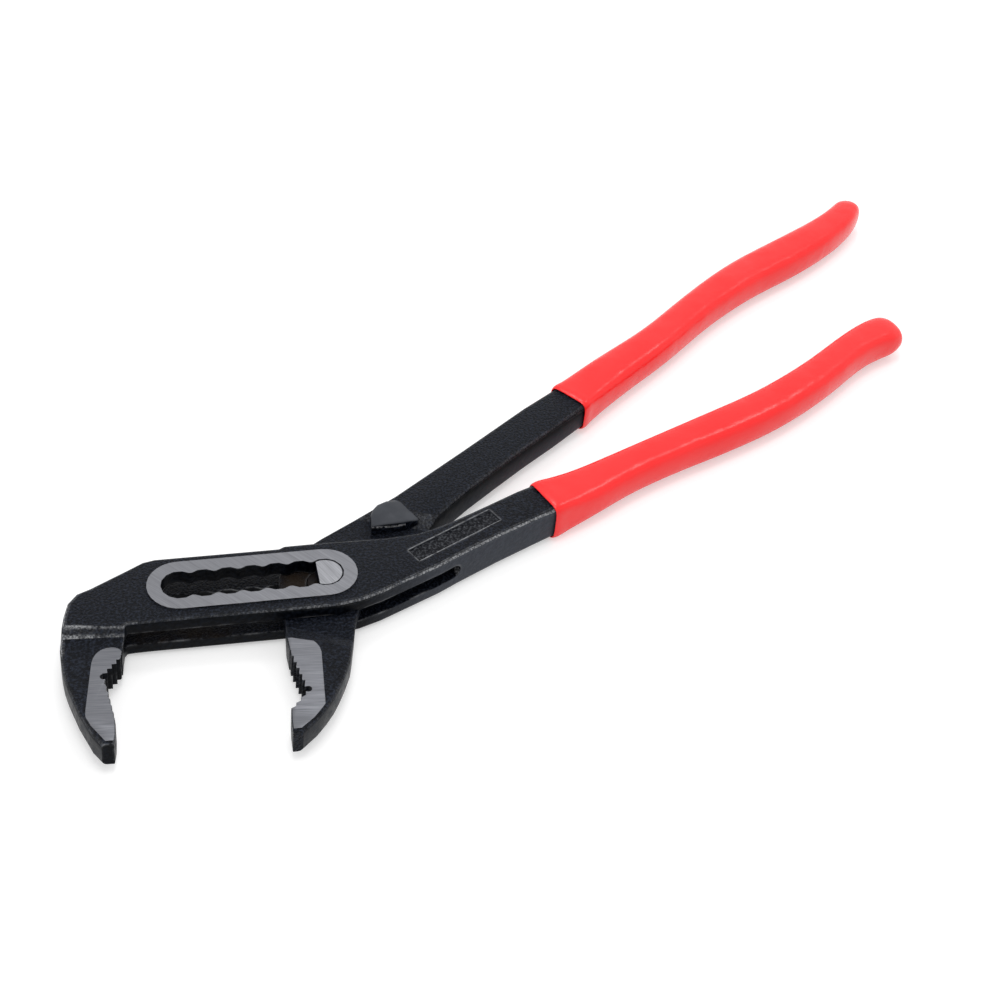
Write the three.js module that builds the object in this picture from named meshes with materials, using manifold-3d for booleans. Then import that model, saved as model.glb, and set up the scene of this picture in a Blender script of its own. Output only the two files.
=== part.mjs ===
// Water pump pliers with a box joint, 300 mm class, jaws open, lying flat.
// Millimetres. X runs along the adjusting slot from the fixed jaw to the handles, Y across it towards
// the handle of the moving jaw, Z up through the thickness. The outer lever's shapes are measured from
// the slot's middle and the inner lever's from the pin. The origin is under the bounding box's middle.

import * as THREE from 'three';
import { mergeVertices } from 'three/addons/utils/BufferGeometryUtils.js';
import Module from 'manifold-3d';

// Box joint: two cheeks with a channel between them, and a raised ground ring round the slot.
const BOX_THICKNESS = 12;
const RING_RISE = 0.4;
const RING_RADIUS = 8.7;
const CHANNEL_HEIGHT = 4.4;
const CHANNEL_LEFT = -36;
const CHANNEL_RIGHT = 57.5;
const CHANNEL_MOUTH = -16;

// Adjusting slot: seven round notches joined by a narrower straight slot.
const NOTCH_COUNT = 7;
const NOTCH_PITCH = 6.46;
const NOTCH_RADIUS = 5.05;
const NECK_HALF_WIDTH = 4.1;

// Pivot pin: round in the lever, with a flat at both ends.
const RUNNING_GAP = 0.25;
const PIN_FLAT_OFFSET = 2;
const PIN_SINK = 0.1;

// Levers.
const JAW_THICKNESS = 7.4;
const PAD_RISE = 0.15;
const OUTER_SHANK_THICKNESS = 11;
const INNER_SHANK_THICKNESS = 9.2;
const HUMP_THICKNESS = 11.6;
const HUMP_EDGE = 2.2;
const FORGED_EDGE = 1.2;
const SHANK_EDGE = 1.3;
const CORE_EDGE = 2.6;
const BITING_EDGE = 0.25;

// Stamped panel on the outer shank: its two ends on the middle line, and how far the shank has thinned there.
const PANEL_FROM = [44.2, 3.6];
const PANEL_TO = [69.8, 17.1];
const PANEL_THINNING_FROM = 0.08;
const PANEL_THINNING_TO = 0.55;
const PANEL_WIDTH = 5;
const PANEL_DEPTH = 0.45;

// Teeth. The fixed jaw has coarse steps and then a fine row, the moving jaw coarse saw teeth.
const STEP_COUNT = 4;
const STEP_IN = 1.25;
const STEP_DOWN = 1.42;
const FINE_COUNT = 6;
const FINE_DEPTH = 0.6;
const SAW_COUNT = 7;
const SAW_PITCH = 2.17;
const SAW_DEPTH = 0.9;
const SAW_LEAN = 0.42;
const NOSE_STEP_COUNT = 3;
const NOSE_STEP_TREAD = 0.4;
const RELIEF_RADIUS = 0.95;
const BITE_CLEARING = 8;

// Dipped grips: where the front lip stands on the lever, the straight length and its angle to the slot.
const OUTER_GRIP_START = [86.3, 23.3];
const OUTER_GRIP_LENGTH = 150;
const OUTER_GRIP_ANGLE = 27.4;
const INNER_GRIP_START = [84, 66];
const INNER_GRIP_LENGTH = 157.6;
const INNER_GRIP_ANGLE = 37.1;
const GRIP_THICKNESS = 10.6;
const GRIP_WALL = 1.1;
const GRIP_GAP = 0.3;
const GRIP_SQUARENESS = 0.6;
const MOUTH_WALL = 0.35;
const MOUTH_EDGE = 1.9;
const MOUTH_SQUARENESS = 0.36;
const MOUTH_TAPER = 16;
const LIP_RISE = 0.25;
const LIP_LENGTH = 4.5;
const LIP_SKEW = 0.6;
const TIP_LENGTH = 7;
const TIP_TURN = 84;
const OUTER_TIP_BLUNTNESS = 0.6;
const INNER_TIP_BLUNTNESS = 0.8;
const CORE_STOP = 9;

const CORNER_STEPS = 3;
const GRIP_SIDES = 24;
const GRIP_STEPS = 26;
const LIP_STEPS = 4;
const TIP_STEPS = 6;
const CORE_STEPS = 16;
const ROUND_STEPS = 28;
const CUT_REACH = 30;

const boxHalf = BOX_THICKNESS / 2;
const jawHalf = JAW_THICKNESS / 2;
const outerShankHalf = OUTER_SHANK_THICKNESS / 2;
const innerShankHalf = INNER_SHANK_THICKNESS / 2;
const tongueHalf = CHANNEL_HEIGHT / 2 - RUNNING_GAP;
const slotReach = NOTCH_PITCH * (NOTCH_COUNT - 1) / 2;
const pinRadius = NOTCH_RADIUS - RUNNING_GAP;
const pinHalf = boxHalf + RING_RISE - PIN_SINK;
const gripHalf = GRIP_THICKNESS / 2;

const wasm = await Module();
wasm.setup();

function toSolid(geometry) {
  geometry.deleteAttribute('normal');
  geometry.deleteAttribute('uv');
  const merged = mergeVertices(geometry, 1e-5);
  const vertProperties = new Float32Array(merged.attributes.position.array);
  const triVerts = new Uint32Array(merged.index.array);
  return new wasm.Manifold(new wasm.Mesh({ numProp: 3, vertProperties, triVerts }));
}

function toMesh(name, solid, material) {
  const { vertProperties, triVerts } = solid.getMesh();
  const geometry = new THREE.BufferGeometry();
  geometry.setAttribute('position', new THREE.BufferAttribute(vertProperties, 3));
  geometry.setIndex(new THREE.BufferAttribute(triVerts, 1));
  geometry.computeVertexNormals();
  const mesh = new THREE.Mesh(geometry, material);
  mesh.name = name;
  return mesh;
}

// Closed body through a row of sections that all have the same number of points.
function loft(sections) {
  const sides = sections[0].length;
  const index = [];
  for (let row = 0; row < sections.length - 1; row += 1) {
    for (let side = 0; side < sides; side += 1) {
      const here = row * sides + side;
      const next = row * sides + (side + 1) % sides;
      index.push(here, next, here + sides, next, next + sides, here + sides);
    }
  }
  const last = (sections.length - 1) * sides;
  for (let side = 1; side < sides - 1; side += 1) {
    index.push(0, side + 1, side);
    index.push(last, last + side, last + side + 1);
  }
  const geometry = new THREE.BufferGeometry();
  geometry.setFromPoints(sections.flat());
  geometry.setIndex(index);
  const solid = toSolid(geometry);
  if (solid.volume() > 0) {
    return solid;
  }
  geometry.index.array.reverse();
  return toSolid(geometry);
}

// Section of a flat bar between its mouth side and its back side, with round edges.
function barSection({ mouth, back, half, mouthEdge, backEdge }) {
  const across = new THREE.Vector2(back[0] - mouth[0], back[1] - mouth[1]);
  const width = across.length();
  across.normalize();
  const corners = [
    [width - backEdge, half - backEdge, backEdge],
    [mouthEdge, half - mouthEdge, mouthEdge],
    [mouthEdge, mouthEdge - half, mouthEdge],
    [width - backEdge, backEdge - half, backEdge],
  ];
  return corners.flatMap(([reach, height, edge], corner) => {
    const points = [];
    for (let step = 0; step <= CORNER_STEPS; step += 1) {
      const angle = (corner + step / CORNER_STEPS) * Math.PI / 2;
      const along = reach + edge * Math.cos(angle);
      const z = height + edge * Math.sin(angle);
      points.push(new THREE.Vector3(mouth[0] + across.x * along, mouth[1] + across.y * along, z));
    }
    return points;
  });
}

function bar(stations) {
  return loft(stations.map(barSection));
}

// Upright prism over a plan outline, from one height to another.
function prism(shape, low, high) {
  const geometry = new THREE.ExtrudeGeometry(shape, {
    depth: high - low,
    bevelEnabled: false,
    curveSegments: ROUND_STEPS / 4,
  });
  geometry.translate(0, 0, low);
  return toSolid(geometry);
}

function throughCut(shape) {
  return prism(shape, -CUT_REACH, CUT_REACH);
}

function outline(points) {
  return new THREE.Shape(points.map(([x, y]) => new THREE.Vector2(x, y)));
}

function disc(x, y, radius) {
  const shape = new THREE.Shape();
  shape.absarc(x, y, radius, 0, Math.PI * 2, false);
  return shape;
}

function stadium(reach, radius) {
  const shape = new THREE.Shape();
  shape.absarc(reach, 0, radius, -Math.PI / 2, Math.PI / 2, false);
  shape.absarc(-reach, 0, radius, Math.PI / 2, Math.PI * 1.5, false);
  return shape;
}

function joined(solids) {
  return solids.reduce((whole, solid) => whole.add(solid));
}

// Middle line of a grip. Each bend holds the share of the length, the offset to the left of the straight
// line and the half width there, from the front lip to the tip.
function gripPath([startX, startY], length, angle, bends) {
  const cos = Math.cos(THREE.MathUtils.degToRad(angle));
  const sin = Math.sin(THREE.MathUtils.degToRad(angle));
  return new THREE.CatmullRomCurve3(bends.map(([share, offset, halfWidth]) => {
    const along = share * length;
    return new THREE.Vector3(
      startX + along * cos - offset * sin,
      startY + along * sin + offset * cos,
      halfWidth,
    );
  }));
}

const outerGripPath = gripPath(OUTER_GRIP_START, OUTER_GRIP_LENGTH, OUTER_GRIP_ANGLE, [
  [0, 0, 7],
  [0.088, -1, 7],
  [0.188, -1.1, 6.15],
  [0.305, -2.1, 6.05],
  [0.434, -3.7, 6.55],
  [0.574, -4.8, 6.55],
  [0.729, -3.1, 6.15],
  [0.871, 0.5, 5.75],
  [0.935, 1.0, 6.4],
  [1, -0.8, 7.3],
]);
const innerGripPath = gripPath(INNER_GRIP_START, INNER_GRIP_LENGTH, INNER_GRIP_ANGLE, [
  [0, 0.2, 6.7],
  [0.128, 0.8, 6.85],
  [0.283, 0.4, 6.15],
  [0.434, 2.0, 6.05],
  [0.587, 1.9, 6.65],
  [0.739, -1.1, 6.95],
  [0.876, -2.7, 5.95],
  [0.947, -1.9, 5.2],
  [1, 1.1, 5.1],
]);

// Each grip: its middle line, half its thickness where the shank enters, and how blunt its tip is.
const outerGrip = {
  path: outerGripPath,
  mouthHalf: outerShankHalf + MOUTH_WALL + GRIP_GAP,
  tipBluntness: OUTER_TIP_BLUNTNESS,
};
const innerGrip = {
  path: innerGripPath,
  mouthHalf: innerShankHalf + MOUTH_WALL + GRIP_GAP,
  tipBluntness: INNER_TIP_BLUNTNESS,
};

// A size that changes from its value at a grip's mouth to its value in the body.
function pastMouth(distance, atMouth, inBody) {
  return THREE.MathUtils.lerp(atMouth, inBody, THREE.MathUtils.smoothstep(distance, 0, MOUTH_TAPER));
}

// Point, unit direction, half width and half thickness at a distance along a grip.
function gripFrame({ path, mouthHalf }, distance) {
  const share = THREE.MathUtils.clamp(distance / path.getLength(), 0, 1);
  const point = path.getPointAt(share);
  const tangent = path.getTangentAt(share);
  const direction = new THREE.Vector2(tangent.x, tangent.y).normalize();
  return { point, direction, halfWidth: point.z, halfHeight: pastMouth(distance, mouthHalf, gripHalf) };
}

// Flat bar under a grip. The same rows, grown by the gap, make the hollow of the grip.
// The mouth side lies to the right of the path where mouthSide is 1, and to the left where it is -1.
function coreStations(grip, mouthSide, growth, from) {
  const end = grip.path.getLength() - CORE_STOP + growth;
  const stations = [];
  for (let step = 0; step <= CORE_STEPS; step += 1) {
    const distance = from + (end - from) * step / CORE_STEPS;
    const { point, direction, halfWidth, halfHeight } = gripFrame(grip, distance);
    const cover = pastMouth(distance, MOUTH_WALL, GRIP_WALL) + GRIP_GAP - growth;
    const edge = pastMouth(distance, MOUTH_EDGE, CORE_EDGE) + growth;
    const reach = (halfWidth - cover) * mouthSide;
    const overrun = Math.min(distance, 0);
    const x = point.x + direction.x * overrun;
    const y = point.y + direction.y * overrun;
    stations.push({
      mouth: [x + direction.y * reach, y - direction.x * reach],
      back: [x - direction.y * reach, y + direction.x * reach],
      half: halfHeight - cover,
      mouthEdge: edge,
      backEdge: edge,
    });
  }
  return stations;
}

// Rounded section of a grip, between an oval and a rectangle, grown or shrunk in both directions.
function gripSection(grip, distance, growth, scale, squareness) {
  const { point, direction, halfWidth, halfHeight } = gripFrame(grip, distance);
  const section = [];
  for (let side = 0; side < GRIP_SIDES; side += 1) {
    const angle = side / GRIP_SIDES * Math.PI * 2;
    const cos = Math.cos(angle);
    const sin = Math.sin(angle);
    const across = Math.sign(cos) * Math.abs(cos) ** squareness * (halfWidth + growth) * scale;
    const height = Math.sign(sin) * Math.abs(sin) ** squareness * (halfHeight + growth) * scale;
    section.push(new THREE.Vector3(
      point.x - direction.y * across,
      point.y + direction.x * across,
      height,
    ));
  }
  return section;
}

const bodySquareness = (distance) => pastMouth(distance, MOUTH_SQUARENESS, GRIP_SQUARENESS);

// Dipped sleeve: a bead at the mouth, an even body and a round closed tip.
function gripSolid(grip) {
  const length = grip.path.getLength();
  const sections = [];
  for (let step = 0; step < LIP_STEPS; step += 1) {
    const share = step / LIP_STEPS;
    const distance = LIP_LENGTH * share;
    const rise = LIP_RISE * Math.sin(Math.PI * share ** LIP_SKEW);
    sections.push(gripSection(grip, distance, rise, 1, bodySquareness(distance)));
  }
  for (let step = 0; step <= GRIP_STEPS; step += 1) {
    const distance = LIP_LENGTH + (length - TIP_LENGTH - LIP_LENGTH) * step / GRIP_STEPS;
    sections.push(gripSection(grip, distance, 0, 1, bodySquareness(distance)));
  }
  for (let step = 1; step <= TIP_STEPS; step += 1) {
    const angle = THREE.MathUtils.degToRad(TIP_TURN) * step / TIP_STEPS;
    const distance = length - TIP_LENGTH * (1 - Math.sin(angle));
    const squareness = THREE.MathUtils.lerp(GRIP_SQUARENESS, 1, step / TIP_STEPS);
    sections.push(gripSection(grip, distance, 0, Math.cos(angle) ** grip.tipBluntness, squareness));
  }
  return loft(sections).subtract(bar(coreStations(grip, 1, GRIP_GAP, -LIP_LENGTH)));
}

// Rows of a lever from the jaw tip to the shank: mouth side, back side, half thickness, two edges.
function station(mouthX, mouthY, backX, backY, half, mouthEdge, backEdge) {
  return { mouth: [mouthX, mouthY], back: [backX, backY], half, mouthEdge, backEdge };
}

const jawRow = (mx, my, bx, by) => station(mx, my, bx, by, jawHalf, BITING_EDGE, FORGED_EDGE);
const boxRow = (mx, my, bx, by) => station(mx, my, bx, by, boxHalf, FORGED_EDGE, FORGED_EDGE);
const tongueRow = (mx, my, bx, by) => station(mx, my, bx, by, tongueHalf, BITING_EDGE, BITING_EDGE);

// Half thickness of the outer lever, from the box where thinning is 0 to the shank where it is 1.
const thinned = (thinning) => boxHalf + (outerShankHalf - boxHalf) * thinning;

const shankRow = (mx, my, bx, by, half) => station(mx, my, bx, by, half, SHANK_EDGE, SHANK_EDGE);
const outerShankRow = (mx, my, bx, by, thinning) => shankRow(mx, my, bx, by, thinned(thinning));
const innerShankRow = (mx, my, bx, by) => shankRow(mx, my, bx, by, innerShankHalf);

function humpRow(mx, my, bx, by, rise) {
  const foot = innerShankHalf - PAD_RISE;
  return station(mx, my, bx, by, foot + (HUMP_THICKNESS / 2 - foot) * rise, HUMP_EDGE, BITING_EDGE);
}

// Outer lever rows, measured from the slot's middle.
const outerRows = [
  jawRow(-40.3, -50.0, -43.4, -49.9),
  jawRow(-39.7, -47.0, -45.5, -46.4),
  jawRow(-39.4, -43.5, -46.9, -42.4),
  jawRow(-39.6, -40.0, -48.3, -38.5),
  jawRow(-40.4, -33.0, -50.2, -31.1),
  jawRow(-40.9, -29.0, -51.0, -27.0),
  jawRow(-39.0, -26.0, -51.4, -23.0),
  jawRow(-36.2, -21.5, -51.5, -19.5),
  jawRow(-35.5, -17.0, -51.5, -16.2),
  jawRow(-35.0, -14.4, -51.1, -13.2),
  boxRow(-34.6, -12.9, -50.6, -10.4),
  boxRow(-34.2, -12.3, -49.9, -6.6),
  boxRow(-33.7, -12.1, -48.7, -2.4),
  boxRow(-33.0, -12.1, -46.2, 0.8),
  boxRow(-32.2, -12.1, -42.6, 2.4),
  boxRow(-29.0, -12.1, -32.0, 8.3),
  boxRow(-26.5, -12.1, -28.2, 10.5),
  boxRow(-24.0, -12.1, -25.0, 11.2),
  boxRow(8.4, -12.2, 8.4, 11.2),
  boxRow(10.0, -12.2, 10.0, 12.0),
  boxRow(21.0, -12.2, 22.0, 12.1),
  outerShankRow(27.3, -11.1, 31.0, 12.0, 0),
  outerShankRow(33.5, -8.9, 37.5, 11.9, 0),
  outerShankRow(45.2, -3.5, 46.9, 12.6, 0.1),
  outerShankRow(51.1, -0.8, 52.4, 14.3, 0.2),
  outerShankRow(57.1, 2.5, 57.4, 16.3, 0.3),
  outerShankRow(69.5, 8.8, 67.2, 21.0, 0.55),
  outerShankRow(82.4, 14.8, 78.2, 26.5, 1),
];

// Inner lever rows, measured from the pin.
const innerRows = [
  jawRow(-15.9, -52.4, -13.3, -52.4),
  jawRow(-15.7, -48.0, -9.0, -48.6),
  jawRow(-15.3, -44.4, -6.2, -45.3),
  jawRow(-13.3, -42.1, -3.7, -41.9),
  jawRow(-11.4, -39.8, -1.7, -38.4),
  jawRow(-11.1, -36.8, 0.0, -35.1),
  jawRow(-12.7, -29.0, 2.1, -30.4),
  jawRow(-13.0, -24.4, 2.9, -27.6),
  jawRow(-13.1, -20.0, 3.4, -25.6),
  tongueRow(-12.6, -14.2, 4.4, -21.8),
  tongueRow(-12.4, -9.0, 6.2, -14.0),
  tongueRow(-12.3, -3.0, 9.1, -7.0),
  tongueRow(-12.1, 3.0, 13.1, -1.0),
  tongueRow(-10.4, 8.0, 18.6, 5.0),
  tongueRow(-5.4, 12.4, 24.1, 10.0),
  tongueRow(1.6, 17.2, 28.1, 13.6),
  tongueRow(12.1, 23.6, 31.6, 16.6),
  innerShankRow(18.4, 25.8, 34.8, 19.8),
  innerShankRow(24.4, 29.6, 39.7, 24.4),
  innerShankRow(35.6, 37.9, 46.3, 30.1),
  innerShankRow(48.7, 47.6, 55.9, 37.7),
  innerShankRow(59.2, 55.5, 66.5, 45.9),
  innerShankRow(69.1, 63.0, 77.1, 53.6),
];

// Stop hump across the inner shank where it leaves the box joint.
const humpRows = [
  humpRow(16.2, 22.9, 15.5, 17.0, 0.5),
  humpRow(17.0, 24.5, 16.6, 16.9, 0.85),
  humpRow(18.6, 26.2, 18.8, 16.9, 1),
  humpRow(21.2, 27.5, 22.4, 17.2, 0.92),
  humpRow(23.4, 28.2, 26.2, 18.0, 0.6),
  humpRow(24.9, 28.4, 29.2, 18.9, 0),
];

// Ground pads on the two jaw faces, as plan outlines that run past the biting edge.
const outerPad = new THREE.Shape();
outerPad.moveTo(-34.5, -20.4);
outerPad.lineTo(-36.0, -20.2);
outerPad.quadraticCurveTo(-36.2, -18.0, -38.6, -17.8);
outerPad.bezierCurveTo(-41.8, -17.6, -43.6, -20.0, -44.1, -23.6);
outerPad.lineTo(-46.4, -38.2);
outerPad.quadraticCurveTo(-46.8, -40.9, -45.9, -42.6);
outerPad.lineTo(-42.3, -48.8);
outerPad.lineTo(-38.0, -48.8);
const innerPad = new THREE.Shape();
innerPad.moveTo(-14.5, -20.6);
innerPad.lineTo(-10.6, -20.3);
innerPad.bezierCurveTo(-7.8, -20.3, -5.0, -22.6, -4.9, -26.2);
innerPad.lineTo(-6.5, -43.6);
innerPad.quadraticCurveTo(-6.7, -45.4, -8.0, -46.6);
innerPad.lineTo(-13.6, -51.2);
innerPad.lineTo(-17.0, -51.2);

function jawPad(rows, shape) {
  const raised = rows.map((row) => ({ ...row, half: row.half + PAD_RISE }));
  return bar(raised).intersect(throughCut(shape));
}

// Room cleared in front of the fixed jaw's biting edge: coarse steps, a relief, then fine grooves.
function outerTeeth() {
  const tipX = -36.45;
  const tipY = -22.2;
  const clear = tipX + BITE_CLEARING;
  const fineFrom = new THREE.Vector2(-40.85, -28.8);
  const fineTo = new THREE.Vector2(-39.15, -42.2);
  const points = [[clear, tipY + STEP_DOWN], [tipX, tipY + STEP_DOWN]];
  for (let step = 0; step < STEP_COUNT; step += 1) {
    points.push([tipX - STEP_IN * step, tipY - STEP_DOWN * step]);
    points.push([tipX - STEP_IN * (step + 1), tipY - STEP_DOWN * step]);
  }
  for (let tooth = 0; tooth < FINE_COUNT; tooth += 1) {
    const tip = fineFrom.clone().lerp(fineTo, tooth / FINE_COUNT);
    const root = fineFrom.clone().lerp(fineTo, (tooth + 0.5) / FINE_COUNT);
    points.push([tip.x, tip.y], [root.x - FINE_DEPTH, root.y]);
  }
  points.push([fineTo.x, fineTo.y], [clear, fineTo.y]);
  return throughCut(outline(points)).add(throughCut(disc(-41.25, -27.55, RELIEF_RADIUS)));
}

// Room cleared in front of the moving jaw's biting edge: saw teeth, a relief, then steps to the nose.
function innerTeeth() {
  const tipX = -13.45;
  const tipY = -24.7;
  const clear = tipX - BITE_CLEARING;
  const rise = new THREE.Vector2(-10.9, -39.6);
  const nose = new THREE.Vector2(-15.3, -44.5);
  const points = [[clear, tipY]];
  for (let tooth = 0; tooth < SAW_COUNT; tooth += 1) {
    const x = tipX + SAW_LEAN * tooth;
    const y = tipY - SAW_PITCH * tooth;
    points.push([x, y], [x + SAW_DEPTH, y]);
  }
  for (let step = 0; step < NOSE_STEP_COUNT; step += 1) {
    const from = rise.clone().lerp(nose, step / NOSE_STEP_COUNT);
    const to = rise.clone().lerp(nose, (step + 1) / NOSE_STEP_COUNT);
    points.push([from.x, from.y], [from.x, THREE.MathUtils.lerp(to.y, from.y, NOSE_STEP_TREAD)]);
  }
  points.push([nose.x, nose.y], [clear, nose.y]);
  return throughCut(outline(points)).add(throughCut(disc(-10.1, -38.6, RELIEF_RADIUS)));
}

function slotCut() {
  const neck = outline([
    [-slotReach, -NECK_HALF_WIDTH],
    [slotReach, -NECK_HALF_WIDTH],
    [slotReach, NECK_HALF_WIDTH],
    [-slotReach, NECK_HALF_WIDTH],
  ]);
  const cuts = [throughCut(neck)];
  for (let notch = 0; notch < NOTCH_COUNT; notch += 1) {
    cuts.push(throughCut(disc(NOTCH_PITCH * notch - slotReach, 0, NOTCH_RADIUS)));
  }
  return joined(cuts);
}

// Channel between the cheeks, open to the mouth and to the back, with a round end in the shank.
function channelCut() {
  const half = CHANNEL_HEIGHT / 2;
  const profile = new THREE.Shape();
  profile.moveTo(CHANNEL_LEFT, -half);
  profile.lineTo(CHANNEL_RIGHT - half, -half);
  profile.absarc(CHANNEL_RIGHT - half, 0, half, -Math.PI / 2, Math.PI / 2, false);
  profile.lineTo(CHANNEL_LEFT, half);
  const geometry = new THREE.ExtrudeGeometry(profile, {
    depth: CUT_REACH - CHANNEL_MOUTH,
    bevelEnabled: false,
    curveSegments: ROUND_STEPS / 2,
  });
  geometry.rotateX(Math.PI / 2);
  geometry.translate(0, CUT_REACH, 0);
  return toSolid(geometry);
}

// Shallow panel sunk into the sloping top of the outer shank.
function panelCut() {
  const from = new THREE.Vector2(...PANEL_FROM);
  const to = new THREE.Vector2(...PANEL_TO);
  const side = to.clone().sub(from).normalize().multiplyScalar(PANEL_WIDTH / 2);
  const slab = [[from, PANEL_THINNING_FROM], [to, PANEL_THINNING_TO]].map(([middle, thinning]) => {
    const floor = thinned(thinning) - PANEL_DEPTH;
    return [
      new THREE.Vector3(middle.x + side.y, middle.y - side.x, floor),
      new THREE.Vector3(middle.x - side.y, middle.y + side.x, floor),
      new THREE.Vector3(middle.x - side.y, middle.y + side.x, CUT_REACH),
      new THREE.Vector3(middle.x + side.y, middle.y - side.x, CUT_REACH),
    ];
  });
  return loft(slab);
}

function outerLever() {
  const ringHalf = boxHalf + RING_RISE;
  const forging = bar([...outerRows, ...coreStations(outerGrip, 1, 0, 0)]);
  const pad = jawPad(outerRows.slice(0, 9), outerPad);
  const ring = prism(stadium(slotReach, RING_RADIUS), -ringHalf, ringHalf);
  const cuts = [slotCut(), channelCut(), panelCut(), outerTeeth()];
  return joined([forging, pad, ring]).subtract(joined(cuts));
}

function innerLever() {
  const forging = bar([...innerRows, ...coreStations(innerGrip, -1, 0, 0)]);
  const pad = jawPad(innerRows.slice(0, 9), innerPad);
  const pinHole = throughCut(disc(0, 0, pinRadius + RUNNING_GAP));
  return joined([forging, pad, bar(humpRows)]).subtract(joined([pinHole, innerTeeth()]));
}

function pivotPin() {
  const flat = outline([
    [-2 * pinRadius, -2 * pinRadius],
    [-PIN_FLAT_OFFSET, -2 * pinRadius],
    [-PIN_FLAT_OFFSET, 2 * pinRadius],
    [-2 * pinRadius, 2 * pinRadius],
  ]);
  const top = prism(flat, CHANNEL_HEIGHT / 2, CUT_REACH);
  const bottom = prism(flat, -CUT_REACH, -CHANNEL_HEIGHT / 2);
  return prism(disc(0, 0, pinRadius), -pinHalf, pinHalf).subtract(top.add(bottom));
}

const blackSteel = new THREE.MeshStandardMaterial({ color: 0x23252a, roughness: 0.55, metalness: 0.6 });
const groundSteel = new THREE.MeshStandardMaterial({ color: 0xb4b6ba, roughness: 0.35, metalness: 1 });
const redDip = new THREE.MeshStandardMaterial({ color: 0xe63a3c, roughness: 0.3, metalness: 0 });

const innerHalf = new THREE.Group();
innerHalf.position.set(slotReach, 0, 0);
innerHalf.add(toMesh('pivot_pin', pivotPin(), groundSteel));
innerHalf.add(toMesh('inner_lever', innerLever(), blackSteel));
innerHalf.add(toMesh('inner_grip', gripSolid(innerGrip), redDip));

const pliers = new THREE.Group();
pliers.add(toMesh('outer_lever', outerLever(), blackSteel));
pliers.add(toMesh('outer_grip', gripSolid(outerGrip), redDip));
pliers.add(innerHalf);

const bounds = new THREE.Box3().setFromObject(pliers, true);
const middle = bounds.getCenter(new THREE.Vector3());
pliers.position.set(-middle.x, -middle.y, -bounds.min.z);

export default pliers;
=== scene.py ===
import math

import bmesh
import bpy
from mathutils import Matrix, Vector


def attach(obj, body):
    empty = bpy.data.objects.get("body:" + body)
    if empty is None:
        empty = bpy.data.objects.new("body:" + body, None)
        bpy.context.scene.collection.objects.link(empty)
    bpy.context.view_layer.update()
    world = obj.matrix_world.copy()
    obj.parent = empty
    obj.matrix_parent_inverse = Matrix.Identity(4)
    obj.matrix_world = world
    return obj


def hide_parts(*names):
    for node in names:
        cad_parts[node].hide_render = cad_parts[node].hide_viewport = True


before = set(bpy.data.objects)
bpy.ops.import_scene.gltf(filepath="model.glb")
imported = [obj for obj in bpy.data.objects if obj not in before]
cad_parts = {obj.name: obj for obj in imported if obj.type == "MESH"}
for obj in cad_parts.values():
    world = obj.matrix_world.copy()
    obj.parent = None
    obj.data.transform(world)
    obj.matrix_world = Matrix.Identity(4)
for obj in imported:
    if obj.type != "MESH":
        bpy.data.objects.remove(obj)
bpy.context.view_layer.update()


# Outer lever: one drop forging with the fixed jaw, the box of two cheeks round the
# slot, and the shank. Steel under a black baked coat; the raised ring round the slot
# and both sides of the jaw are ground bright after coating.
MERGE_DISTANCE = 0.000002
FLAT_ANGLE = 0.3
SHARP_ANGLE = 32


def whole_copy(node):
    """A node's solid as an open mesh to work on, its triangles merged."""
    solid = bmesh.new()
    solid.from_mesh(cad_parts[node].data)
    bmesh.ops.remove_doubles(solid, verts=solid.verts, dist=MERGE_DISTANCE)
    return solid


def finished_piece(name, solid, materials):
    """Closes the working mesh into an object with its materials."""
    mesh = bpy.data.meshes.new(name)
    solid.to_mesh(mesh)
    solid.free()
    if "custom_normal" in mesh.attributes:
        mesh.attributes.remove(mesh.attributes["custom_normal"])
    for material in materials:
        mesh.materials.append(material)
    mesh.shade_smooth()
    piece = bpy.data.objects.new(name, mesh)
    bpy.context.collection.objects.link(piece)
    return piece


def forged_piece(node, name, finishes, finish_of):
    """A lever: its solid with whole flat faces and sharp edges, each face in its own finish."""
    forging = whole_copy(node)
    bmesh.ops.dissolve_limit(
        forging, angle_limit=math.radians(FLAT_ANGLE), verts=forging.verts, edges=forging.edges,
    )
    for face in forging.faces:
        face.material_index = finishes.index(finish_of(face))
    piece = finished_piece(name, forging, finishes)
    piece.data.set_sharp_from_angle(angle=math.radians(SHARP_ANGLE))
    return piece


def wire(tree, kind, inputs, **settings):
    """Adds a node to a tree; each input is a value or the socket that feeds it."""
    made = tree.nodes.new(kind)
    for name, value in settings.items():
        setattr(made, name, value)
    for name, value in inputs.items():
        if isinstance(value, bpy.types.NodeSocket):
            tree.links.new(value, made.inputs[name])
        else:
            made.inputs[name].default_value = value
    return made


def ramp(tree, value, low, high, start=0.0, end=1.0):
    """A value between low and high, spread over start to end."""
    spread = {"Value": value, "From Min": low, "From Max": high, "To Min": start, "To Max": end}
    return wire(tree, "ShaderNodeMapRange", spread).outputs["Result"]


def arithmetic(tree, operation, first, second):
    """One sum of two values."""
    return wire(tree, "ShaderNodeMath", {0: first, 1: second}, operation=operation).outputs[0]


def both(tree, first, second):
    """Two masks or shares multiplied."""
    return arithmetic(tree, "MULTIPLY", first, second)


def apart(tree, value, middle):
    """How far a value is from a middle, on either side."""
    return arithmetic(tree, "ABSOLUTE", arithmetic(tree, "SUBTRACT", value, middle), 0.0)


def blend_colours(tree, share, first, second):
    """A colour between two."""
    inputs = {0: share, 6: first, 7: second}
    return wire(tree, "ShaderNodeMix", inputs, data_type="RGBA").outputs[2]


def own_place(tree):
    """Where a point lies on its own piece."""
    return wire(tree, "ShaderNodeTexCoord", {}).outputs["Object"]


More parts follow.
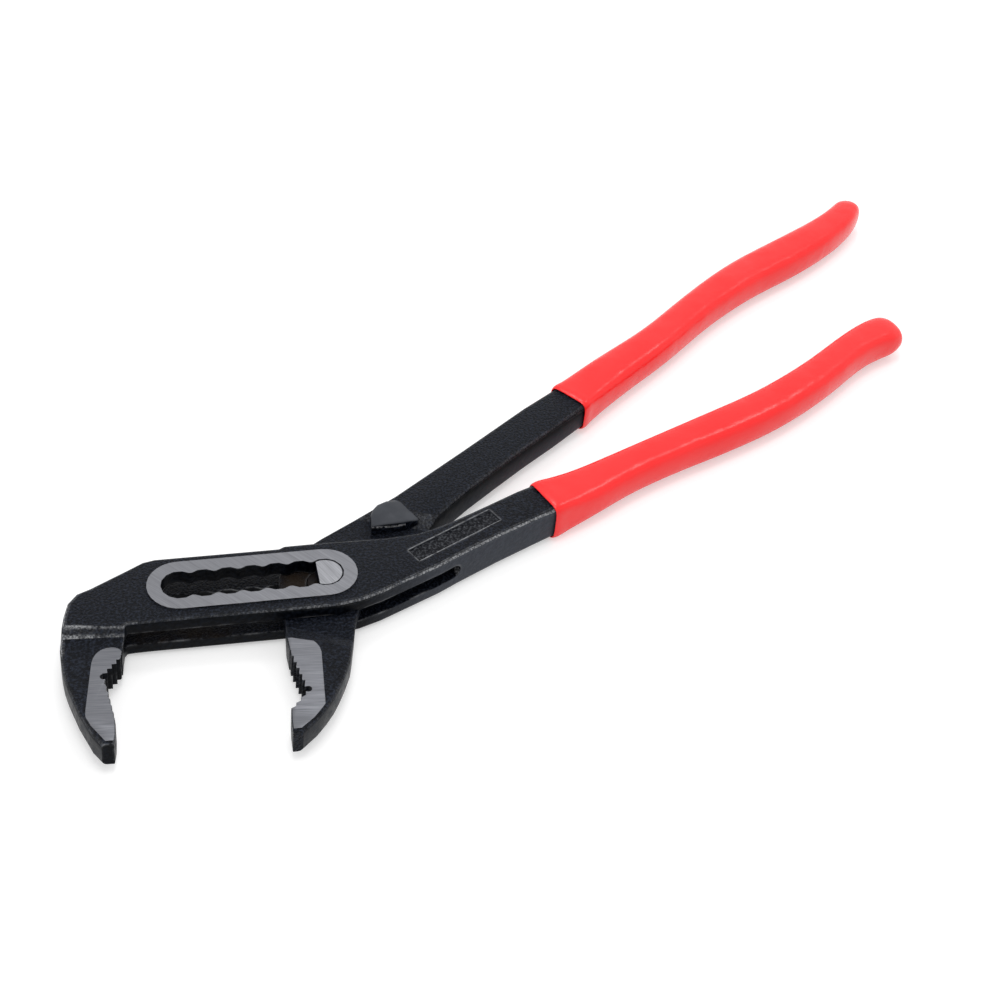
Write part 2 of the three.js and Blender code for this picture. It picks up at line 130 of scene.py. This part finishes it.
def axes(tree, vector):
    """The X, Y and Z of a vector."""
    return wire(tree, "ShaderNodeSeparateXYZ", {"Vector": vector}).outputs


def noise(tree, place, scale, detail, roughness):
    """The value of a cloudy pattern."""
    inputs = {"Vector": place, "Scale": scale, "Detail": detail, "Roughness": roughness}
    return wire(tree, "ShaderNodeTexNoise", inputs).outputs["Fac"]


def new_group(name, inputs, outputs):
    """An empty shader group with its sockets; returns the group and its two ends."""
    group = bpy.data.node_groups.new(name, "ShaderNodeTree")
    for label, kind, value in inputs:
        socket = group.interface.new_socket(label, in_out="INPUT", socket_type=kind)
        socket.default_value = value
    for label, kind in outputs:
        group.interface.new_socket(label, in_out="OUTPUT", socket_type=kind)
    return group, group.nodes.new("NodeGroupInput"), group.nodes.new("NodeGroupOutput")


FINE_GRAIN = 2600
LUMP_GRAIN = 1450
FINE_SHARE = 0.5
PEBBLE_SHARE = 0.35


def coat_grain_group():
    """The fine pebbled skin of a baked coat: a height and a slow change of tone."""
    group, begin, end = new_group(
        "coat_grain",
        [("Fine", "NodeSocketFloat", FINE_GRAIN), ("Lumps", "NodeSocketFloat", LUMP_GRAIN)],
        [("Height", "NodeSocketFloat"), ("Tone", "NodeSocketFloat")],
    )
    place = own_place(group)
    fine = noise(group, place, begin.outputs["Fine"], 3, 0.6)
    lumps = noise(group, place, begin.outputs["Lumps"], 2, 0.5)
    cells = wire(group, "ShaderNodeTexVoronoi", {
        "Vector": place, "Scale": begin.outputs["Lumps"],
    }).outputs["Distance"]
    pebbles = ramp(group, cells, 0.0, 0.7, 1.0, 0.0)
    skin = arithmetic(group, "ADD", both(group, fine, FINE_SHARE), lumps)
    height = arithmetic(group, "ADD", skin, both(group, pebbles, PEBBLE_SHARE))
    group.links.new(height, end.inputs["Height"])
    group.links.new(ramp(group, lumps, 0.46, 0.66), end.inputs["Tone"])
    return group


MIDDLE_HEIGHT = 0.0064
WEAR_REACH = 0.0007
WEAR_SAMPLES = 6
SOFT_EDGE = 0.0003
STEP_TOP = 0.0060
STEP_FOOT = 0.0037
STEP_FROM = -0.1208
STEP_TO = -0.1383
STEP_BELOW = -0.0741
STEP_RIM_FAINT = 0.0008
STEP_RIM_BARE = 0.0003
BOX_RUB_FROM = -0.095
BOX_RUB_TO = -0.050
WEAR_PATCHES = 150
WEAR_GRIT = 1700


def edge_wear_group():
    """Where handling rubs a coat: broken lines on sharp edges, specks on round ones."""
    group, begin, end = new_group(
        "edge_wear",
        [
            ("Reach", "NodeSocketFloat", WEAR_REACH),
            ("Round", "NodeSocketFloat", SOFT_EDGE),
            ("Rub", "NodeSocketFloat", 1.0),
        ],
        [("Mask", "NodeSocketFloat"), ("Normal", "NodeSocketVector")],
    )
    place = own_place(group)
    rub = begin.outputs["Rub"]
    shelter = wire(
        group, "ShaderNodeAmbientOcclusion", {"Distance": begin.outputs["Reach"]},
        samples=WEAR_SAMPLES, inside=True, only_local=True,
    ).outputs["AO"]
    sharp_edge = ramp(group, shelter, 0.90, 0.55)
    patches = noise(group, place, WEAR_PATCHES, 5, 0.65)
    line = both(group, sharp_edge, ramp(group, patches, 0.44, 0.66))
    line = both(group, line, ramp(group, rub, 0.0, 0.5))

    facing = wire(group, "ShaderNodeNewGeometry", {}).outputs["True Normal"]
    tilt = arithmetic(group, "ABSOLUTE", axes(group, facing)["Z"], 0.0)
    round_edge = both(group, ramp(group, tilt, 0.12, 0.40), ramp(group, tilt, 0.985, 0.85))

    split = axes(group, place)
    along = split["X"]
    height = apart(group, split["Z"], MIDDLE_HEIGHT)
    off_top = apart(group, height, STEP_TOP)
    off_foot = apart(group, height, STEP_FOOT)
    off_rim = arithmetic(group, "MINIMUM", off_top, off_foot)
    step_rim = ramp(group, off_rim, STEP_RIM_FAINT, STEP_RIM_BARE, 0.12, 1.0)
    step_rub = both(group, step_rim, ramp(group, along, STEP_FROM, STEP_TO, 0.45, 1.3))
    box_rub = ramp(group, along, BOX_RUB_FROM, BOX_RUB_TO, 0.16, 1.0)
    left_end = arithmetic(group, "LESS_THAN", along, STEP_FROM)
    above_jaw = arithmetic(group, "GREATER_THAN", split["Y"], STEP_BELOW)
    on_step = both(group, left_end, above_jaw)
    handled = wire(group, "ShaderNodeMix", {0: on_step, 2: box_rub, 3: step_rub}).outputs[0]
    handled = both(group, handled, rub)

    grit = noise(group, place, WEAR_GRIT, 2, 0.6)
    specks = ramp(group, grit, 0.42, 0.62, 0.22, 1.0)
    specks = both(group, specks, ramp(group, patches, 0.30, 0.52, 0.25, 1.0))
    rubbed = both(group, both(group, specks, handled), round_edge)
    group.links.new(arithmetic(group, "MAXIMUM", line, rubbed), end.inputs["Mask"])
    rounded = wire(
        group, "ShaderNodeBevel", {"Radius": begin.outputs["Round"]}, samples=WEAR_SAMPLES,
    ).outputs["Normal"]
    group.links.new(rounded, end.inputs["Normal"])
    return group


CHANNEL_LEVEL = 0.0023
STAIN_BLOTCHES = 110
STAINS = (((-0.0755, -0.0552), (0.0095, 0.010)), ((-0.1090, -0.0655), (0.0150, 0.005)))


def slot_stain_group():
    """The flat inner faces that show through the slot and the slit, where oil and rust settle."""
    group, begin, end = new_group(
        "slot_stain", [("Blotches", "NodeSocketFloat", STAIN_BLOTCHES)],
        [("Mask", "NodeSocketFloat")],
    )
    place = own_place(group)
    split = axes(group, place)
    off_middle = apart(group, split["Z"], MIDDLE_HEIGHT)
    inside = arithmetic(group, "LESS_THAN", off_middle, CHANNEL_LEVEL)
    near = 0.0
    for middle, reach in STAINS:
        in_length = ramp(group, apart(group, split["X"], middle[0]), reach[0], reach[0] / 2)
        in_width = ramp(group, apart(group, split["Y"], middle[1]), reach[1], reach[1] / 2)
        near = arithmetic(group, "MAXIMUM", both(group, in_length, in_width), near)
    blotches = noise(group, place, begin.outputs["Blotches"], 3, 0.6)
    stain = both(group, both(group, inside, near), ramp(group, blotches, 0.40, 0.62))
    group.links.new(stain, end.inputs["Mask"])
    return group


BELT_LINES = (110, 3800, 110)
BELT_BANDS = (60, 1100, 60)
BAND_SHARE = 0.5


def grinding_group():
    """The lines that a grinding belt leaves, at an angle to the slot."""
    group, begin, end = new_group(
        "grinding_lines", [("Turn", "NodeSocketVector", (0, 0, 0))],
        [("Height", "NodeSocketFloat"), ("Tone", "NodeSocketFloat")],
    )
    turned = wire(group, "ShaderNodeMapping", {
        "Vector": own_place(group), "Rotation": begin.outputs["Turn"],
    }).outputs["Vector"]
    drawn = wire(group, "ShaderNodeMapping", {"Vector": turned, "Scale": BELT_LINES})
    lines = noise(group, drawn.outputs["Vector"], 1, 3, 0.6)
    broad = wire(group, "ShaderNodeMapping", {"Vector": turned, "Scale": BELT_BANDS})
    bands = noise(group, broad.outputs["Vector"], 1, 2, 0.5)
    group.links.new(lines, end.inputs["Height"])
    mixed = arithmetic(group, "ADD", both(group, bands, BAND_SHARE), lines)
    group.links.new(ramp(group, mixed, 0.50, 1.00), end.inputs["Tone"])
    return group


coat_grain = coat_grain_group()
edge_wear = edge_wear_group()
slot_stain = slot_stain_group()
grinding_lines = grinding_group()


def new_material(name):
    """A material, its tree and its shader."""
    material = bpy.data.materials.new(name)
    material.use_nodes = True
    tree = material.node_tree
    return material, tree, tree.nodes["Principled BSDF"]


# Painted sheen: a lighter satin copy of the coat for walls that catch the light.
SATIN_SHEEN_BLACK = (0.0420, 0.0465, 0.0575, 1)
SATIN_SHEEN_GREY = (0.0545, 0.0600, 0.0735, 1)
RUBBED_GREY = (0.3300, 0.3360, 0.3500, 1)
CHANNEL_BROWN = (0.0165, 0.0112, 0.0075, 1)
COAT_SHINE = 0.10
COAT_DEPTH = 0.0003


def black_coat(
    name, dark, light, lumps, depth, rub,
    fine=FINE_GRAIN, marks=None, sheen_mask=None, shine=COAT_SHINE, soft=SOFT_EDGE,
):
    """Black baked coat on forged steel, rubbed through along its outer edges."""
    material, tree, shader = new_material(name)
    grain = wire(tree, "ShaderNodeGroup", {"Fine": fine, "Lumps": lumps}, node_tree=coat_grain)
    wear = wire(tree, "ShaderNodeGroup", {"Rub": rub, "Round": soft}, node_tree=edge_wear)
    stain = wire(tree, "ShaderNodeGroup", {}, node_tree=slot_stain)
    coat = blend_colours(tree, grain.outputs["Tone"], dark, light)
    # A painted sheen: a lighter copy of the coat laid over walls by a mask.
    if sheen_mask:
        satin_sheen = blend_colours(tree, grain.outputs["Tone"], SATIN_SHEEN_BLACK, SATIN_SHEEN_GREY)
        coat = blend_colours(tree, sheen_mask(tree), coat, satin_sheen)
    stained = blend_colours(tree, stain.outputs["Mask"], coat, CHANNEL_BROWN)
    bare = wear.outputs["Mask"]
    if marks:
        bare = arithmetic(tree, "MAXIMUM", bare, marks(tree))
    colour = blend_colours(tree, bare, stained, RUBBED_GREY)
    tree.links.new(colour, shader.inputs["Base Color"])
    shader.inputs["Specular IOR Level"].default_value = shine
    rough = ramp(tree, grain.outputs["Tone"], 0.0, 1.0, 0.36, 0.52)
    tree.links.new(rough, shader.inputs["Roughness"])
    bump = wire(tree, "ShaderNodeBump", {
        "Strength": depth, "Distance": COAT_DEPTH,
        "Height": grain.outputs["Height"], "Normal": wear.outputs["Normal"],
    })
    tree.links.new(bump.outputs["Normal"], shader.inputs["Normal"])
    return material


COAT_BLACK = (0.0005, 0.0012, 0.0034, 1)
COAT_GREY = (0.0165, 0.0208, 0.0320, 1)
BELT_STRENGTH = 0.25
BELT_DEPTH = 0.00006


def ground_steel(name, dull, bright, turn, shadow=None):
    """Bare steel with belt lines, at an angle in degrees to the slot."""
    material, tree, shader = new_material(name)
    turned = (0, 0, math.radians(turn))
    lines = wire(tree, "ShaderNodeGroup", {"Turn": turned}, node_tree=grinding_lines)
    colour = blend_colours(tree, lines.outputs["Tone"], dull, bright)
    if shadow:
        colour = blend_colours(tree, shadow(tree), colour, COAT_BLACK)
    tree.links.new(colour, shader.inputs["Base Color"])
    shader.inputs["Metallic"].default_value = 1
    rough = ramp(tree, lines.outputs["Tone"], 0.0, 1.0, 0.48, 0.30)
    tree.links.new(rough, shader.inputs["Roughness"])
    bump = wire(tree, "ShaderNodeBump", {
        "Strength": BELT_STRENGTH, "Distance": BELT_DEPTH, "Height": lines.outputs["Height"],
    })
    tree.links.new(bump.outputs["Normal"], shader.inputs["Normal"])
    return material


PANEL_MIDDLE = (-0.03259, -0.04483)
PANEL_HALF = (0.01447, 0.0025)
PANEL_TURN = 27.8
PANEL_LINE_FAINT = 0.00036
PANEL_LINE_BARE = 0.00010
PANEL_END = 0.0008
PANEL_PATCHES = 420


def panel_line(tree):
    """A mask of the thin rubbed line round the panel's rim, on the top side only."""
    place = own_place(tree)
    own = wire(tree, "ShaderNodeMapping", {
        "Vector": place, "Location": (PANEL_MIDDLE[0], PANEL_MIDDLE[1], MIDDLE_HEIGHT),
        "Rotation": (0, 0, math.radians(PANEL_TURN)),
    }, vector_type="TEXTURE").outputs["Vector"]
    split = axes(tree, own)
    past_end = arithmetic(tree, "SUBTRACT", apart(tree, split["X"], 0.0), PANEL_HALF[0])
    past_side = arithmetic(tree, "SUBTRACT", apart(tree, split["Y"], 0.0), PANEL_HALF[1])
    outside = arithmetic(tree, "MAXIMUM", past_end, past_side)
    rim = ramp(tree, apart(tree, outside, 0.0), PANEL_LINE_FAINT, PANEL_LINE_BARE)
    long_side = ramp(tree, past_end, -PANEL_END, 0.0, 1.0, 0.3)
    patches = noise(tree, place, PANEL_PATCHES, 4, 0.7)
    broken = both(tree, long_side, ramp(tree, patches, 0.38, 0.58, 0.1, 1.0))
    on_top = arithmetic(tree, "GREATER_THAN", split["Z"], 0.0)
    return both(tree, both(tree, rim, broken), on_top)


SHANK_BEGINS = -0.0620
SHANK_SETTLED = -0.0380


def shank_sheen_share(tree):
    """A mask that rises from the box to the shank: a painted sheen on the shank's smoother sides,
    for the light they catch.
    """
    return ramp(tree, axes(tree, own_place(tree))["X"], SHANK_BEGINS, SHANK_SETTLED)


# Painted shade: the upright walls get a darker copy of the black coat than the tops.
SHADED_WALL_BLACK = (0.0003, 0.0007, 0.0018, 1)
SHADED_WALL_GREY = (0.0040, 0.0056, 0.0090, 1)
STIPPLE_GREY = (0.0550, 0.0580, 0.0660, 1)
# Painted sheen: the jaw backs get a lighter copy of the wall coat, for the side light they catch.
LIT_BACK_BLACK = (0.0040, 0.0050, 0.0075, 1)
LIT_BACK_GREY = (0.0155, 0.0180, 0.0235, 1)
RING_DULL = (0.1480, 0.1510, 0.1640, 1)
RING_BRIGHT = (0.2080, 0.2120, 0.2290, 1)
JAW_DULL = (0.1080, 0.1110, 0.1230, 1)
JAW_BRIGHT = (0.1720, 0.1760, 0.1920, 1)

forged_coat = black_coat(
    "forged_coat", COAT_BLACK, COAT_GREY, lumps=LUMP_GRAIN, depth=1.0, rub=1.0,
    marks=panel_line,
)
stippled_coat = black_coat(
    "stippled_coat", COAT_BLACK, STIPPLE_GREY, lumps=1500, depth=1.0, rub=0.0, fine=3000,
)
# The walls' coat: painted shade, darker than the tops, with a painted sheen along the shank.
shaded_wall_coat = black_coat(
    "shaded_wall_coat", SHADED_WALL_BLACK, SHADED_WALL_GREY, lumps=800, depth=0.4, rub=0.16,
    sheen_mask=shank_sheen_share, shine=0.06,
)
lit_back_coat = black_coat("lit_back_coat", LIT_BACK_BLACK, LIT_BACK_GREY, lumps=500, depth=0.25, rub=0.2)
ring_steel = ground_steel("ring_steel", RING_DULL, RING_BRIGHT, turn=48)
jaw_steel = ground_steel("jaw_steel", JAW_DULL, JAW_BRIGHT, turn=4)

RING_LEVEL = 0.0064
PAD_LEVEL = 0.00385
LEVEL_ERROR = 0.00004
LEVEL_TILT = 0.99
WALL_TILT = 0.3
JAW_BELOW = -0.0754
BACK_TURN = 0.3
PANEL_FLOOR = 0.00550
PANEL_REACH = 0.002
PANEL_TILT = 0.9


def off_level(face):
    """How far a face's middle is above or below the tool's middle."""
    return abs(face.calc_center_median().z - MIDDLE_HEIGHT)


def on_level(face, level):
    """Whether a face lies flat at a level above or below the tool's middle."""
    return abs(face.normal.z) > LEVEL_TILT and abs(off_level(face) - level) < LEVEL_ERROR


def is_wall(face):
    """Whether a face stands upright."""
    return abs(face.normal.z) < WALL_TILT


def is_jaw_back(face, turned_out):
    """Whether a face is the wall on the back of a jaw."""
    return is_wall(face) and turned_out and face.calc_center_median().y < JAW_BELOW


def in_panel(face):
    """Whether a face is the floor of the panel on the outer shank."""
    middle = face.calc_center_median()
    away = math.hypot(middle.x - PANEL_MIDDLE[0], middle.y - PANEL_MIDDLE[1])
    below_top = middle.z - MIDDLE_HEIGHT < PANEL_FLOOR
    return away < PANEL_REACH and face.normal.z > PANEL_TILT and below_top


def outer_finish(face):
    """The finish of one face of the outer lever."""
    if is_jaw_back(face, face.normal.x < -BACK_TURN):
        return lit_back_coat
    if in_panel(face):
        return stippled_coat
    if on_level(face, PAD_LEVEL):
        return jaw_steel
    if on_level(face, RING_LEVEL):
        return ring_steel
    return shaded_wall_coat if is_wall(face) else forged_coat


outer_forging = forged_piece(
    "outer_lever", "outer_forging",
    [forged_coat, ring_steel, jaw_steel, stippled_coat, lit_back_coat, shaded_wall_coat], outer_finish,
)
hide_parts("outer_lever")
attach(outer_forging, "outer_half")


# Pivot pin: a turned steel pin with a flat, riveted through the inner lever's tongue.
# Bare steel; its two ends are ground off level with the ring.
PIN_LEVEL = 0.0063
PIN_DULL = (0.1800, 0.1830, 0.1970, 1)
PIN_BRIGHT = (0.3100, 0.3150, 0.3350, 1)
PIN_AXIS = (-0.07021, -0.05517, 0)
PIN_RIM_FROM = 0.00445
PIN_RIM_TO = 0.00462


def pin_gap_shade(tree):
    """A mask of painted shade on the turned edge round the pin's ends, where the gap to the ring is
    dark.
    """
    level = wire(
        tree, "ShaderNodeVectorMath", {0: own_place(tree), 1: (1, 1, 0)}, operation="MULTIPLY",
    ).outputs[0]
    away = wire(tree, "ShaderNodeVectorMath", {0: level, 1: PIN_AXIS}, operation="DISTANCE")
    return ramp(tree, away.outputs["Value"], PIN_RIM_FROM, PIN_RIM_TO)


pin_steel = ground_steel("pin_steel", PIN_DULL, PIN_BRIGHT, turn=62, shadow=pin_gap_shade)
pin_side = black_coat(
    "pin_side", COAT_BLACK, COAT_GREY, lumps=520, depth=0.2, rub=0.0, fine=1500,
)

turning = whole_copy("pivot_pin")
for face in turning.faces:
    face.material_index = 0 if on_level(face, PIN_LEVEL) else 1
riveted_pin = finished_piece("riveted_pin", turning, [pin_steel, pin_side])
riveted_pin.data.set_sharp_from_angle(angle=math.radians(SHARP_ANGLE))
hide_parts("pivot_pin")
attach(riveted_pin, "pin")


# Inner lever: the second forging, a moving jaw and a shank on one flat tongue that
# passes through the box. Steel with the same black coat, its jaw sides ground bright.
FLASH_LEVELS = (0.0050, 0.0042)
FLASH_FROM = -0.0552
FLASH_TO = -0.0450
FLASH_BEHIND = -0.0370
FLASH_FAINT = 0.00045
FLASH_BARE = 0.00015
FLASH_RAGS = 900


def flash_line(tree):
    """A mask of the rough forging flash along the front of the stop hump."""
    place = own_place(tree)
    split = axes(tree, place)
    height = apart(tree, split["Z"], MIDDLE_HEIGHT)
    level = ramp(tree, split["X"], FLASH_FROM, FLASH_TO, *FLASH_LEVELS)
    line = ramp(tree, apart(tree, height, level), FLASH_FAINT, FLASH_BARE)
    ragged = both(tree, line, ramp(tree, noise(tree, place, FLASH_RAGS, 3, 0.7), 0.42, 0.58))
    begun = arithmetic(tree, "GREATER_THAN", split["X"], FLASH_FROM)
    ended = arithmetic(tree, "LESS_THAN", split["X"], FLASH_TO)
    front = arithmetic(tree, "LESS_THAN", split["Y"], FLASH_BEHIND)
    return both(tree, ragged, both(tree, both(tree, begun, ended), front))


BAR_DARK_ABOVE = 0.0088
BAR_HIGHLIGHT_BELOW = 0.0030


def low_highlight_share(tree):
    """A mask that rises from the upper part of a wall to its foot: a painted highlight low on the
    wall.
    """
    return ramp(tree, axes(tree, own_place(tree))["Z"], BAR_DARK_ABOVE, BAR_HIGHLIGHT_BELOW)


# Painted sheen: the stop hump's smooth coat is painted lighter, for the light its rounded top
# catches.
HUMP_SHEEN_BLACK = (0.0445, 0.0480, 0.0565, 1)
HUMP_SHEEN_GREY = (0.0605, 0.0645, 0.0745, 1)

tongue_coat = black_coat(
    "tongue_coat", COAT_BLACK, COAT_GREY, lumps=LUMP_GRAIN, depth=1.0, rub=0.15,
    marks=flash_line,
)
hump_sheen_coat = black_coat(
    "hump_sheen_coat", HUMP_SHEEN_BLACK, HUMP_SHEEN_GREY, lumps=160, depth=0.12, rub=0.0, soft=0.0012,
)
# The inner shank's near wall: the painted shade of the walls, with a painted highlight low down.
shaded_bar_coat = black_coat(
    "shaded_bar_coat", SHADED_WALL_BLACK, SHADED_WALL_GREY, lumps=500, depth=0.25, rub=0.2,
    sheen_mask=low_highlight_share, shine=0.03,
)

HUMP_FOOT = 0.00465
HUMP_TILT = 0.2
BAR_FROM = -0.0385


def inner_finish(face):
    """The finish of one face of the inner lever."""
    if off_level(face) > HUMP_FOOT and abs(face.normal.z) > HUMP_TILT:
        return hump_sheen_coat
    if is_wall(face) and face.calc_center_median().x > BAR_FROM:
        return shaded_bar_coat
    if is_jaw_back(face, face.normal.x > BACK_TURN):
        return lit_back_coat
    return jaw_steel if on_level(face, PAD_LEVEL) else tongue_coat


inner_forging = forged_piece(
    "inner_lever", "inner_forging",
    [tongue_coat, jaw_steel, lit_back_coat, hump_sheen_coat, shaded_bar_coat], inner_finish,
)
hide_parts("inner_lever")
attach(inner_forging, "inner_half")


# Grips: soft red vinyl that each shank is dipped in twice, so it is one skin about a
# millimetre thick, with a rounded rim at the mouth and a drip-rounded end.
SKIN_WAVES = 70
SKIN_DENTS = 190
SKIN_PEEL = 1300
DENT_SHARE = 0.5
PEEL_SHARE = 0.03


def dip_skin_group():
    """The slow waves and fine orange peel of a dipped skin, with a slow change of tone."""
    group, begin, end = new_group(
        "dip_skin", [("Waves", "NodeSocketFloat", SKIN_WAVES)],
        [("Height", "NodeSocketFloat"), ("Tone", "NodeSocketFloat")],
    )
    place = own_place(group)
    waves = noise(group, place, begin.outputs["Waves"], 2, 0.4)
    dents = noise(group, place, SKIN_DENTS, 1, 0.4)
    peel = noise(group, place, SKIN_PEEL, 2, 0.5)
    height = arithmetic(group, "ADD", waves, both(group, dents, DENT_SHARE))
    height = arithmetic(group, "ADD", height, both(group, peel, PEEL_SHARE))
    group.links.new(height, end.inputs["Height"])
    group.links.new(ramp(group, waves, 0.3, 0.7), end.inputs["Tone"])
    return group


DIP_RED = (1.0000, 0.0180, 0.0190, 1)
DIP_DEEP = (0.9700, 0.0110, 0.0120, 1)
DIP_SHINE = 0.42
DIP_ROUGHNESS = 0.25
DIP_STRENGTH = 0.5
DIP_DEPTH = 0.001


def dipped_vinyl(name):
    """Red dipped vinyl, glossy and slightly uneven."""
    material, tree, shader = new_material(name)
    skin = wire(tree, "ShaderNodeGroup", {}, node_tree=dip_skin_group())
    colour = blend_colours(tree, skin.outputs["Tone"], DIP_DEEP, DIP_RED)
    tree.links.new(colour, shader.inputs["Base Color"])
    shader.inputs["Specular IOR Level"].default_value = DIP_SHINE
    shader.inputs["Roughness"].default_value = DIP_ROUGHNESS
    bump = wire(tree, "ShaderNodeBump", {
        "Strength": DIP_STRENGTH, "Distance": DIP_DEPTH, "Height": skin.outputs["Height"],
    })
    tree.links.new(bump.outputs["Normal"], shader.inputs["Normal"])
    return material


red_dip = dipped_vinyl("red_dip")

QUAD_ANGLE = 40
QUAD_SKEW = 60
SOFT_STARTS = (0.009, 0.016, 0.023)
SOFT_STEP = 0.5
TIP_REACH = 0.003
LIP_REACH = 0.0045
ROUNDING_LEVELS = 2


def outside_of(sleeve, mouth, along):
    """The vertices of a grip's outside, found from its tip, with their distances from the mouth."""
    tip = max(sleeve.verts, key=lambda vert: (vert.co.xy - mouth).dot(along))
    reached = {tip: (tip.co.xy - mouth).dot(along)}
    front = [tip]
    while front:
        for edge in front.pop().link_edges:
            for vert in edge.verts:
                distance = (vert.co.xy - mouth).dot(along)
                if vert not in reached and distance > SOFT_STARTS[0]:
                    reached[vert] = distance
                    front.append(vert)
    return reached


def dipped_sleeve(node, name, body, mouth, turn, early):
    """One grip: its solid in whole quads, softened past its mouth and rounded by subdivision."""
    sleeve = whole_copy(node)
    bmesh.ops.join_triangles(
        sleeve, faces=sleeve.faces, angle_face_threshold=math.radians(QUAD_ANGLE),
        angle_shape_threshold=math.radians(QUAD_SKEW),
    )
    along = Vector((math.cos(math.radians(turn)), math.sin(math.radians(turn))))
    for vert in sleeve.verts:
        distance = max((vert.co.xy - mouth).dot(along), 0)
        vert.co.xy -= along * early * max(1 - distance / LIP_REACH, 0)
    outside = outside_of(sleeve, mouth, along)
    soft_end = max(outside.values()) - TIP_REACH
    for start in SOFT_STARTS:
        soft = [vert for vert, distance in outside.items() if start < distance < soft_end]
        bmesh.ops.smooth_vert(
            sleeve, verts=soft, factor=SOFT_STEP,
            use_axis_x=True, use_axis_y=True, use_axis_z=True,
        )
    piece = finished_piece(name, sleeve, [red_dip])
    rounding = piece.modifiers.new("rounding", "SUBSURF")
    rounding.levels = ROUNDING_LEVELS
    rounding.render_levels = ROUNDING_LEVELS
    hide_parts(node)
    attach(piece, body)


OUTER_MOUTH = Vector((-0.0033, -0.0319))
OUTER_TURN = 27.4
OUTER_EARLY = 0.0015
INNER_MOUTH = Vector((0.0136, 0.0110))
INNER_TURN = 37.1
INNER_EARLY = 0

dipped_sleeve("outer_grip", "outer_dip", "outer_half", OUTER_MOUTH, OUTER_TURN, OUTER_EARLY)
dipped_sleeve("inner_grip", "inner_dip", "inner_half", INNER_MOUTH, INNER_TURN, INNER_EARLY)


# Floor, light and camera: a plain white sweep, an even white surround, three soft boxes
# overhead, and the camera where the picture was taken.
FLOOR_HALF = 6.0
FLOOR_WHITE = (0.74, 0.74, 0.74, 1)
FLOOR_ROUGHNESS = 0.9
FLOOR_LIFT = (0.408, 0.408, 0.408, 1)
NO_LIFT = (0, 0, 0, 1)
SURROUND_WHITE = (1, 1, 1, 1)
SURROUND_LIGHT = 0.8
SURROUND_SEEN = 1.0


def seen_itself(tree):
    """A mask of the rays that look at a surface, straight or by way of gloss or glass."""
    path = wire(tree, "ShaderNodeLightPath", {}).outputs
    seen = arithmetic(tree, "MAXIMUM", path["Is Camera Ray"], path["Is Glossy Ray"])
    return arithmetic(tree, "MAXIMUM", seen, path["Is Transmission Ray"])


slab = bmesh.new()
bmesh.ops.create_grid(slab, x_segments=1, y_segments=1, size=FLOOR_HALF)
floor_paper, tree, shader = new_material("floor_paper")
shader.inputs["Base Color"].default_value = FLOOR_WHITE
shader.inputs["Roughness"].default_value = FLOOR_ROUGHNESS
shader.inputs["Specular IOR Level"].default_value = 0
lift = blend_colours(tree, seen_itself(tree), NO_LIFT, FLOOR_LIFT)
tree.links.new(lift, shader.inputs["Emission Color"])
shader.inputs["Emission Strength"].default_value = 1
floor = finished_piece("floor", slab, [floor_paper])

world = bpy.data.worlds.new("white_surround")
bpy.context.scene.world = world
world.use_nodes = True
sky = world.node_tree
strength = ramp(sky, seen_itself(sky), 0.0, 1.0, SURROUND_LIGHT, SURROUND_SEEN)
sky.nodes["Background"].inputs["Color"].default_value = SURROUND_WHITE
sky.links.new(strength, sky.nodes["Background"].inputs["Strength"])


def soft_lamp(name, place, size, power):
    """A square soft box that points at the middle of the tool."""
    light = bpy.data.lights.new(name, "AREA")
    light.size = size
    light.energy = power
    lamp = bpy.data.objects.new(name, light)
    lamp.location = place
    lamp.rotation_euler = (-Vector(place)).to_track_quat("-Z", "Y").to_euler()
    bpy.context.collection.objects.link(lamp)


soft_lamp("top_box", (-0.10, -0.05, 1.0), size=0.26, power=2.1)
soft_lamp("far_box", (0.10, 0.50, 1.0), size=0.25, power=1.2)
soft_lamp("right_box", (0.60, 0.36, 0.88), size=0.13, power=0.6)

CAMERA_PLACE = Vector((-0.138063, -0.430840, 0.392575))
CAMERA_AIM = Vector((-0.015260, -0.026393, 0.0064))
CAMERA_ROLL = 6.8
LENS_LENGTH = 72
SENSOR_WIDTH = 36

lens = bpy.data.cameras.new("camera")
lens.lens = LENS_LENGTH
lens.sensor_width = SENSOR_WIDTH
camera = bpy.data.objects.new("camera", lens)
aim = (CAMERA_AIM - CAMERA_PLACE).to_track_quat("-Z", "Y").to_matrix()
rolled = aim @ Matrix.Rotation(math.radians(CAMERA_ROLL), 3, "Z")
camera.location = CAMERA_PLACE
camera.rotation_euler = rolled.to_euler()
bpy.context.collection.objects.link(camera)
bpy.context.scene.camera = camera
bpy.context.scene.view_settings.view_transform = "Standard"
